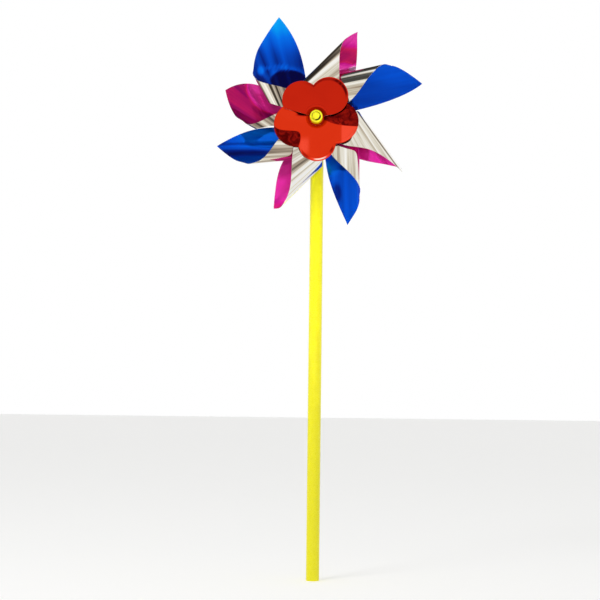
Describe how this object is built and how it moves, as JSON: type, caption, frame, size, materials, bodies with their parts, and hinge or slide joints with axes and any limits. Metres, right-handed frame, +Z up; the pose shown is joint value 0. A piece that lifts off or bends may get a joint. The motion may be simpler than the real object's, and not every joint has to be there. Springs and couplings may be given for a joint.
{
  "type": "pinwheel",
  "caption": "Hand-held pinwheel: curled two-colour foil vanes and a flower-shaped centre spin freely on a pin through the top of a plastic tube stick.",
  "frame": {"origin": "centre of the stick's lower cut end, on the stick's axis", "axes": "+Z up along the stick, -Y towards the front of the wheel, +X to the right seen from the front; the wheel turns about Y"},
  "size_m": [0.1305, 0.0454, 0.359],
  "materials": {
    "stick": "smooth extruded yellow plastic",
    "axle_pin": "moulded yellow plastic",
    "pin_keeper": "moulded yellow plastic",
    "stand_off_collar": "cut from yellow plastic tube",
    "hub_sleeve": "moulded yellow plastic",
    "curl_spacer": "cut from yellow plastic tube",
    "rear_washer": "moulded yellow plastic",
    "blue_foil": "mirror film, blue inside the curls and silver outside",
    "magenta_foil": "mirror film, magenta inside the curls and silver outside",
    "flower": "metallised red film"
  },
  "bodies": {
    "stick_group": {"stick": "stick", "axle_pin": "axle_pin", "pin_keeper": "pin_keeper", "stand_off_collar": "stand_off_collar"},
    "wheel": {"hub_sleeve": "hub_sleeve", "curl_spacer": "curl_spacer", "rear_washer": "rear_washer", "blue_foil": "blue_foil", "magenta_foil": "magenta_foil", "flower": "flower"}
  },
  "joints": [
    {"name": "wheel_spin", "type": "hinge", "parent": "stick_group", "child": "wheel", "pos_m": [0, -0.02, 0.29], "axis": [0, 1, 0], "continuous": true}
  ]
}
